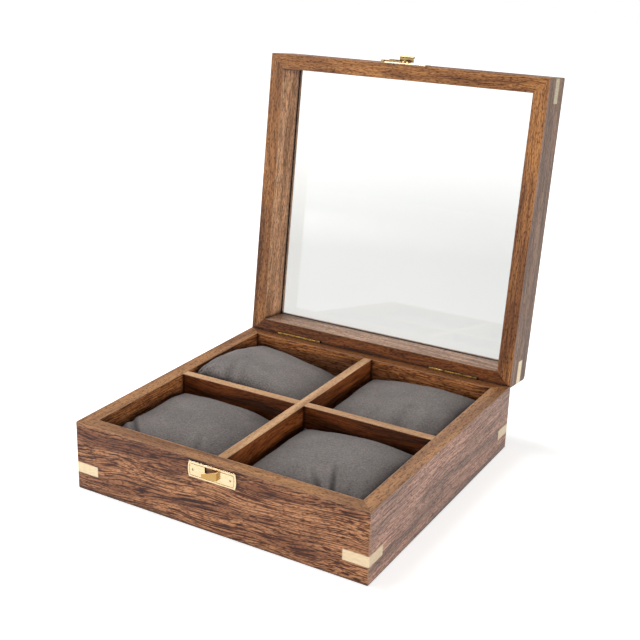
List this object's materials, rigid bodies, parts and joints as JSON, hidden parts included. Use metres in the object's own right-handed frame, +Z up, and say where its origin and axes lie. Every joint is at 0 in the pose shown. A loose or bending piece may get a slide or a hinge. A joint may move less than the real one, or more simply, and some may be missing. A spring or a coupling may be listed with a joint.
{
  "type": "watch box",
  "caption": "Square wooden display box with cushioned compartments under a hinged glazed lid, brass corner strips and a swinging catch.",
  "frame": {"origin": "middle of the flat underside of the base", "axes": "+X to the right along the front wall, +Y to the back where the hinges are, +Z up; stored with the lid open on its bevels, as in the picture"},
  "size_m": [0.2, 0.2532, 0.2462],
  "materials": {
    "walnut": "oiled reddish-brown hardwood with dark streaks",
    "plywood": "stained thin plywood",
    "felt": "dark brown pressed felt",
    "suede": "warm grey brushed suede cloth",
    "brass": "satin pale brass",
    "steel": "plain drawn wire",
    "glass": "clear float glass"
  },
  "bodies": {
    "base": {"base_back_wall": "walnut", "base_corner_strip_back_left": "brass", "base_corner_strip_back_right": "brass", "base_corner_strip_front_left": "brass", "base_corner_strip_front_right": "brass", "base_front_wall": "walnut", "base_left_wall": "walnut", "base_panel": "plywood", "base_right_wall": "walnut", "catch_pins_base": "brass", "catch_plate_base": "brass", "divider_crosswise": "walnut", "divider_lengthwise": "walnut", "floor_lining": "felt", "hinge_brads_base": "brass", "hinge_leaf_base_left": "brass", "hinge_leaf_base_right": "brass", "hinge_pin_left": "steel", "hinge_pin_right": "steel", "pillow_back_left": "suede", "pillow_back_right": "suede", "pillow_front_left": "suede", "pillow_front_right": "suede"},
    "lid": {"catch_pins_lid": "brass", "catch_plate_lid": "brass", "catch_rivet": "brass", "glass_panel": "glass", "hinge_brads_lid": "brass", "hinge_leaf_lid_left": "brass", "hinge_leaf_lid_right": "brass", "lid_back_rail": "walnut", "lid_corner_strip_back_left": "brass", "lid_corner_strip_back_right": "brass", "lid_corner_strip_front_left": "brass", "lid_corner_strip_front_right": "brass", "lid_front_rail": "walnut", "lid_left_rail": "walnut", "lid_right_rail": "walnut"},
    "arm": {"catch_arm": "brass"}
  },
  "joints": [
    {"name": "lid_hinge", "type": "hinge", "parent": "base", "child": "lid", "pos_m": [0, 0.0983, 0.04465], "axis": [1, 0, 0], "range_deg": [0, 96.4]},
    {"name": "catch_swing", "type": "hinge", "parent": "lid", "child": "arm", "pos_m": [0, 0.12552, 0.24114], "axis": [0, 0.1115, 0.9938], "range_deg": [-90, 90]}
  ]
}
